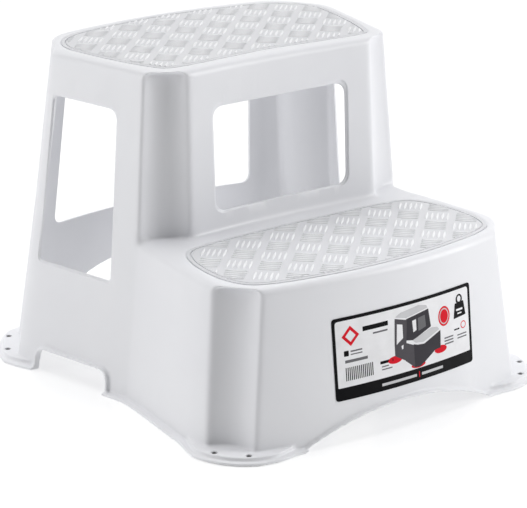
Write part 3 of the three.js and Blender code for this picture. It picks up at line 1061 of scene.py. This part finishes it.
def rubber(name):
    """Dark rubber with dust in its grain."""
    material, tree, shader = new_material(name, (0.045, 0.045, 0.05), 0.8, 0.3)
    dust = ramp(tree, noise(tree, 90.0, 4.0), 0, 1)
    dusty = mixed(tree, dust, (0.035, 0.035, 0.038), (0.075, 0.073, 0.07))
    tree.links.new(dusty, shader.inputs["Base Color"])
    tree.links.new(ramp(tree, noise(tree, 160.0, 3.0), 0.72, 0.92), shader.inputs["Roughness"])
    tree.links.new(bump(tree, noise(tree, 900.0), 0.3), shader.inputs["Normal"])
    return material


# Floor, light and camera

def studio_floor():
    mesh = bpy.data.meshes.new("floor")
    mesh.from_pydata([(-12, -6, 0), (12, -6, 0), (12, 18, 0), (-12, 18, 0)], [], [(0, 1, 2, 3)])
    made = bpy.data.objects.new("floor", mesh)
    bpy.context.scene.collection.objects.link(made)
    material, tree, shader = new_material("studio_floor", (0.54, 0.54, 0.54), 0.12, 1.0)
    shader.inputs["Emission Color"].default_value = (1, 1, 1, 1)
    shader.inputs["Emission Strength"].default_value = 0.5
    mesh.materials.append(material)
    return made


def looking(azimuth, elevation):
    """The direction from the stool to a viewer, with both angles in degrees."""
    azimuth, elevation = math.radians(azimuth), math.radians(elevation)
    return Vector((
        math.sin(azimuth) * math.cos(elevation),
        -math.cos(azimuth) * math.cos(elevation),
        math.sin(elevation),
    ))


def main_camera():
    data = bpy.data.cameras.new("camera")
    data.lens = CAMERA_LENS
    made = bpy.data.objects.new("camera", data)
    bpy.context.scene.collection.objects.link(made)
    back = looking(CAMERA_AZIMUTH, CAMERA_ELEVATION)
    made.location = CAMERA_TARGET + back * CAMERA_DISTANCE
    made.rotation_euler = back.to_track_quat("Z", "Y").to_euler()
    return made


def softbox(name, azimuth, elevation, size, power, distance=3.0):
    """A wide lamp that faces the middle of the stool."""
    data = bpy.data.lights.new(name, "AREA")
    data.shape = "RECTANGLE"
    data.size, data.size_y = size
    data.energy = power
    made = bpy.data.objects.new(name, data)
    bpy.context.scene.collection.objects.link(made)
    direction = looking(azimuth, elevation)
    made.location = Vector((0, 0, TOP / 2 * MM)) + direction * distance
    made.rotation_euler = direction.to_track_quat("Z", "Y").to_euler()


def overhead_light(power, angle, tilt):
    data = bpy.data.lights.new("overhead", "SUN")
    data.energy = power
    data.angle = math.radians(angle)
    made = bpy.data.objects.new("overhead", data)
    made.rotation_euler = (math.radians(tilt), 0, 0)
    bpy.context.scene.collection.objects.link(made)


def backdrop(dark, bright):
    """Surroundings that are brightest behind the stool and dark behind the viewer."""
    world = bpy.data.worlds.new("studio")
    world.use_nodes = True
    tree = world.node_tree
    facing = tree.nodes.new("ShaderNodeVectorMath")
    facing.operation = "DOT_PRODUCT"
    facing.inputs[1].default_value = -looking(CAMERA_AZIMUTH, 0)
    tree.links.new(tree.nodes.new("ShaderNodeTexCoord").outputs["Generated"], facing.inputs[0])
    background = tree.nodes["Background"]
    background.inputs["Color"].default_value = (1, 1, 1, 1)
    strength = ramp(tree, facing.outputs["Value"], dark, bright, -0.1, 0.8)
    tree.links.new(strength, background.inputs["Strength"])
    return world


# Assembly

# The front face of the label, which is foremost along its bottom edge, ties the plan frame to the part's own.
LABEL_FRONT = front_wall(LABEL_BOTTOM)[0] - LABEL_GAP - LABEL_THICKNESS
PLAN_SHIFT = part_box("front_label")[0].y / MM - LABEL_FRONT

white_plastic = moulded_plastic("shell_plastic", (0.82, 0.825, 0.85), (0.79, 0.795, 0.825), 0.34, 700.0)
# Tread field and bars are one plastic: the field is darkened as painted shade and the bars lightened as a
# painted highlight.
shaded_field_plastic = moulded_plastic("tread_field_painted_shade", (0.70, 0.705, 0.725), (0.66, 0.665, 0.69), 0.42, 900.0)
lit_bar_plastic = moulded_plastic("tread_bars_painted_highlight", (0.88, 0.885, 0.90), (0.84, 0.845, 0.865), 0.30, 900.0)
inks = {
    "black": printed_film("ink_black", (0.004, 0.004, 0.005)),
    "white": printed_film("ink_white", (0.88, 0.88, 0.9)),
    "pale": printed_film("ink_pale", (0.62, 0.62, 0.64)),
    "grey": printed_film("ink_grey", (0.16, 0.16, 0.17)),
    "red": printed_film("ink_red", (0.72, 0.01, 0.025)),
    "sign_side": printed_film("ink_dark_grey", (0.09, 0.085, 0.095)),
    "sign_front": printed_film("ink_mid_grey", (0.05, 0.047, 0.055)),
}

shell = moulded_shell()
coated(shell, white_plastic)
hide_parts("moulded_shell")
upper = tread("upper_tread_panel", UPPER_BORDER, UPPER_ANCHOR, TOP, shaded_field_plastic, lit_bar_plastic)
lower = tread("lower_tread_panel", LOWER_BORDER, LOWER_ANCHOR, STEP, shaded_field_plastic, lit_bar_plastic)
for made in (shell, upper, lower):
    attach(made, "root")

label = front_label(inks)
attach(label, "root")
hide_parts("front_label")

pad_rubber = rubber("pad_rubber")
for node_name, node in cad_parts.items():
    if node_name.endswith("grip_pad"):
        coated(node, pad_rubber)

floor = studio_floor()
softbox("left_softbox", azimuth=-112, elevation=14, size=(1.4, 2.2), power=30)
softbox("right_softbox", azimuth=48, elevation=20, size=(1.2, 1.8), power=50)
overhead_light(power=2.0, angle=60, tilt=-12)
bpy.context.scene.world = backdrop(dark=0.06, bright=0.7)
bpy.context.scene.view_settings.view_transform = "Standard"
bpy.context.scene.camera = main_camera()
